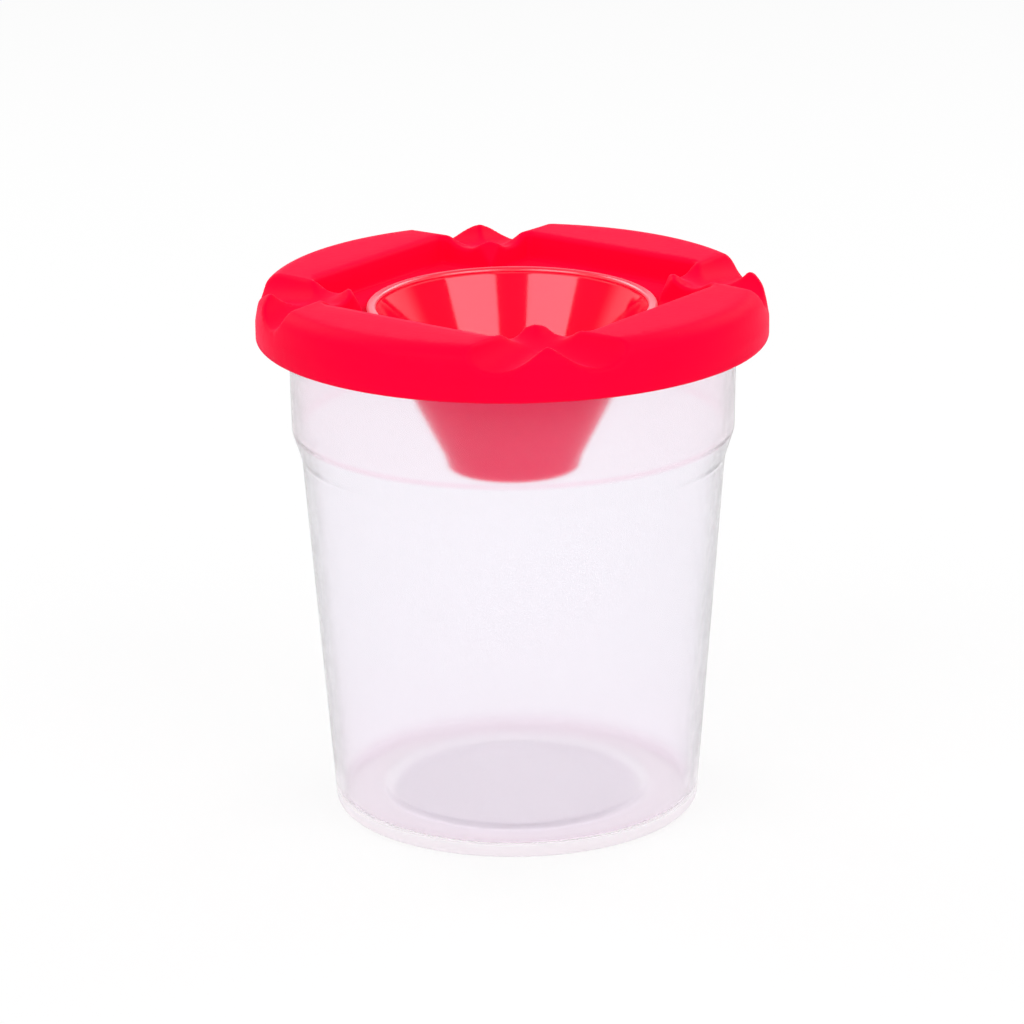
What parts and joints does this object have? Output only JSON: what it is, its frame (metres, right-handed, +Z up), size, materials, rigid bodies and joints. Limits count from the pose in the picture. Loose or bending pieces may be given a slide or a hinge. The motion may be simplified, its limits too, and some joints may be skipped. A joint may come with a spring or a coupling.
{
  "type": "paint cup with lid",
  "caption": "Tapered see-through paint cup with a press-on lid, a hanging funnel for the brush and notched rests on the lid's rim.",
  "frame": {"origin": "centre of the foot's underside, on the surface that the cup stands on", "axes": "+Z up along the common axis of cup and lid; the lid's four flat lands face +X, -X, +Y and -Y, and its brush rests cross on the diagonals"},
  "size_m": [0.08, 0.08, 0.085],
  "materials": {
    "cup_plastic": "frosted, see-through moulded plastic, natural white with a faint lilac cast",
    "lid_plastic": "bright red moulded plastic, satin outside and glossy inside the funnel"
  },
  "bodies": {
    "cup": {"cup": "cup_plastic"},
    "lid": {"lid": "lid_plastic"}
  },
  "joints": [
    {"name": "lid_lift", "type": "slide", "parent": "cup", "child": "lid", "axis": [0, 0, 1], "range_m": [0, 0.035]}
  ]
}
